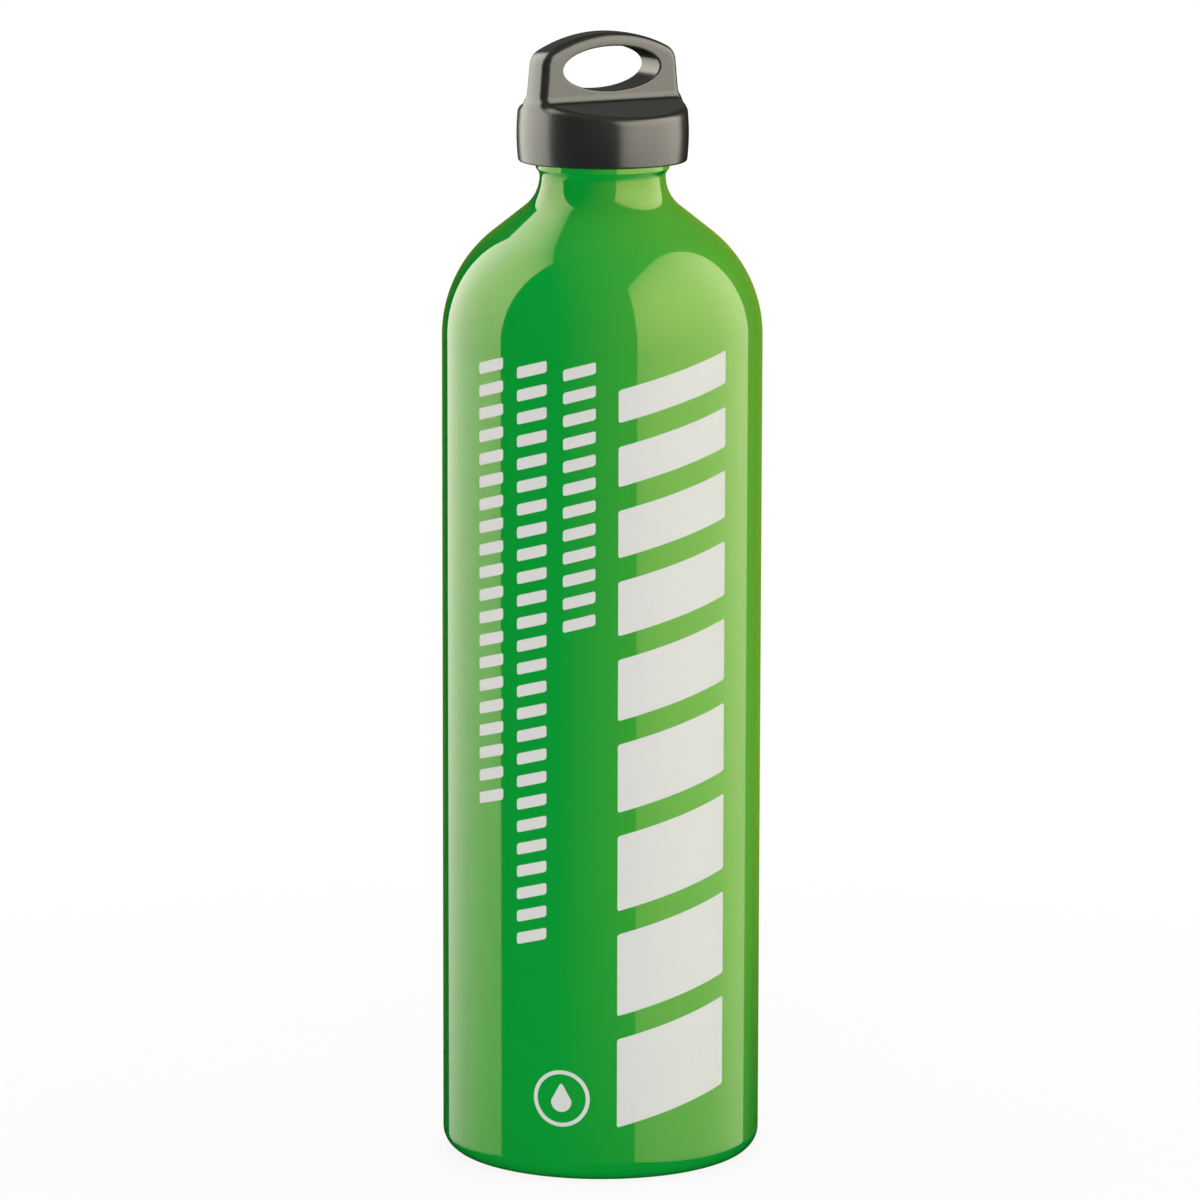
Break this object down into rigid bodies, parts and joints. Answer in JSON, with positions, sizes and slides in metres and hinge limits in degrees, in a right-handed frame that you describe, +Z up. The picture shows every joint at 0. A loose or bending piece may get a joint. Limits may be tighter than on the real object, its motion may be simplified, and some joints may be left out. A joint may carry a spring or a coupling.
{
  "type": "camping fuel bottle",
  "caption": "Tall round aluminium fuel bottle with a round shoulder, narrow threaded neck and push-and-turn screw cap whose flat upright loop has an oval carry hole.",
  "frame": {"origin": "centre of the standing ring on the base", "axes": "+Z up along the bottle's axis; the cap's loop lies along X"},
  "size_m": [0.089, 0.089, 0.3153],
  "materials": {
    "bottle_paint": "gloss green paint outside, bare inside",
    "bare_aluminium": "machined",
    "seal_rubber": "matt",
    "stopper_plastic": "satin",
    "spring_steel": "drawn wire",
    "ring_plastic": "satin",
    "cap_plastic": "satin, fine moulded grain"
  },
  "bodies": {
    "bottle": {"bottle_body": "bottle_paint", "neck_thread_ring": "bare_aluminium"},
    "seal": {"rim_gasket": "seal_rubber"},
    "plug": {"stopper": "stopper_plastic"},
    "spring": {"push_spring": "spring_steel"},
    "cap": {"cap_shell": "cap_plastic", "retaining_ring": "ring_plastic"}
  },
  "joints": [
    {"name": "cap_lift", "type": "slide", "parent": "bottle", "child": "seal", "axis": [0, 0, 1], "range_m": [0, 0.012]},
    {"name": "cap_turn", "type": "hinge", "parent": "seal", "child": "plug", "pos_m": [0, 0, 0.284], "axis": [0, 0, 1], "range_deg": [0, 1440]},
    {"name": "cap_push", "type": "slide", "parent": "plug", "child": "spring", "axis": [0, 0, 1], "range_m": [-0.0016, 0], "stiffness_N_per_m": 1500, "springref_m": 0.006, "deforming": ["push_spring"]},
    {"name": "cap_freewheel", "type": "hinge", "parent": "spring", "child": "cap", "pos_m": [0, 0, 0.29], "axis": [0, 0, 1], "continuous": true}
  ],
  "couplings": [
    {"joint": "cap_lift", "follows": "cap_turn", "m_per_rad": 0.00047746}
  ]
}
